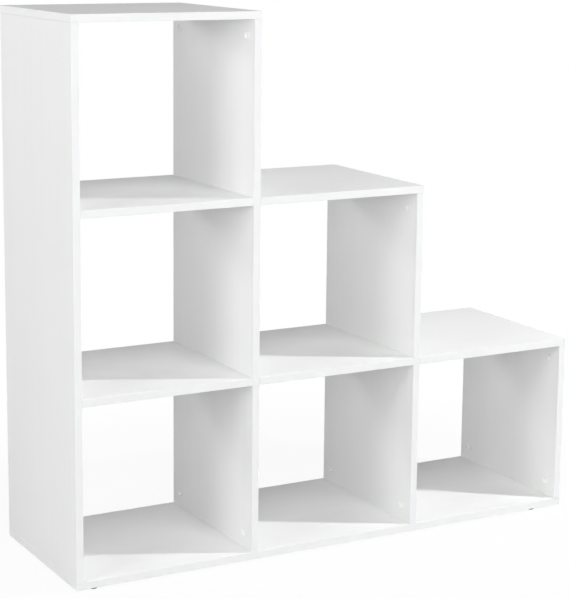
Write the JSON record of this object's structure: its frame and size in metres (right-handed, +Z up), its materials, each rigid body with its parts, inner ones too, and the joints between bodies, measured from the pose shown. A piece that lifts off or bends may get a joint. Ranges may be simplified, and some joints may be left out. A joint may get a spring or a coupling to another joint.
{
  "type": "stepped cube shelf",
  "caption": "Free-standing stepped cube shelf of white melamine-faced boards, open at front and back, held by capped cam fittings and standing on small glides.",
  "frame": {"origin": "middle of the footprint, on the floor under the glides", "axes": "+X to the right as seen from the front, +Y from front to back, +Z up"},
  "size_m": [1.128, 0.354, 1.0783],
  "materials": {
    "melamine": "white melamine-faced chipboard with white edge bands, satin",
    "cap_plastic": "white moulded cover cap on a cam",
    "zinc": "zinc-plated steel",
    "glide_plastic": "dark moulded glide",
    "beech": "fluted beech dowel"
  },
  "bodies": {
    "root": {"bottom_panel": "melamine", "left_side": "melamine", "tall_divider": "melamine", "short_divider": "melamine", "right_side": "melamine", "upper_top": "melamine", "middle_top": "melamine", "lower_top": "melamine", "upper_shelf": "melamine", "left_shelf": "melamine", "middle_shelf": "melamine", "glide_front_left": "glide_plastic", "glide_front_right": "glide_plastic", "glide_back_left": "glide_plastic", "glide_back_right": "glide_plastic", "left_side_bottom_front_cam": "cap_plastic", "left_side_bottom_back_cam": "cap_plastic", "left_side_top_front_cam": "cap_plastic", "left_side_top_back_cam": "cap_plastic", "tall_divider_bottom_front_cam": "cap_plastic", "tall_divider_bottom_back_cam": "cap_plastic", "tall_divider_top_front_cam": "cap_plastic", "tall_divider_top_back_cam": "cap_plastic", "short_divider_bottom_front_cam": "cap_plastic", "short_divider_bottom_back_cam": "cap_plastic", "short_divider_top_front_cam": "cap_plastic", "short_divider_top_back_cam": "cap_plastic", "right_side_bottom_front_cam": "cap_plastic", "right_side_bottom_back_cam": "cap_plastic", "right_side_top_front_cam": "cap_plastic", "right_side_top_back_cam": "cap_plastic", "upper_shelf_left_cam": "cap_plastic", "upper_shelf_right_cam": "cap_plastic", "left_shelf_left_cam": "cap_plastic", "left_shelf_right_cam": "cap_plastic", "middle_top_left_cam": "cap_plastic", "middle_shelf_left_cam": "cap_plastic", "middle_shelf_right_cam": "cap_plastic", "lower_top_left_cam": "cap_plastic", "left_side_bottom_front_bolt": "zinc", "left_side_bottom_back_bolt": "zinc", "left_side_top_front_bolt": "zinc", "left_side_top_back_bolt": "zinc", "tall_divider_bottom_front_bolt": "zinc", "tall_divider_bottom_back_bolt": "zinc", "tall_divider_top_front_bolt": "zinc", "tall_divider_top_back_bolt": "zinc", "short_divider_bottom_front_bolt": "zinc", "short_divider_bottom_back_bolt": "zinc", "short_divider_top_front_bolt": "zinc", "short_divider_top_back_bolt": "zinc", "right_side_bottom_front_bolt": "zinc", "right_side_bottom_back_bolt": "zinc", "right_side_top_front_bolt": "zinc", "right_side_top_back_bolt": "zinc", "upper_shelf_left_bolt": "zinc", "left_shelf_left_bolt": "zinc", "upper_shelf_to_middle_top_bolt": "zinc", "left_shelf_to_middle_shelf_bolt": "zinc", "middle_shelf_to_lower_top_bolt": "zinc"}
  },
  "joints": []
}
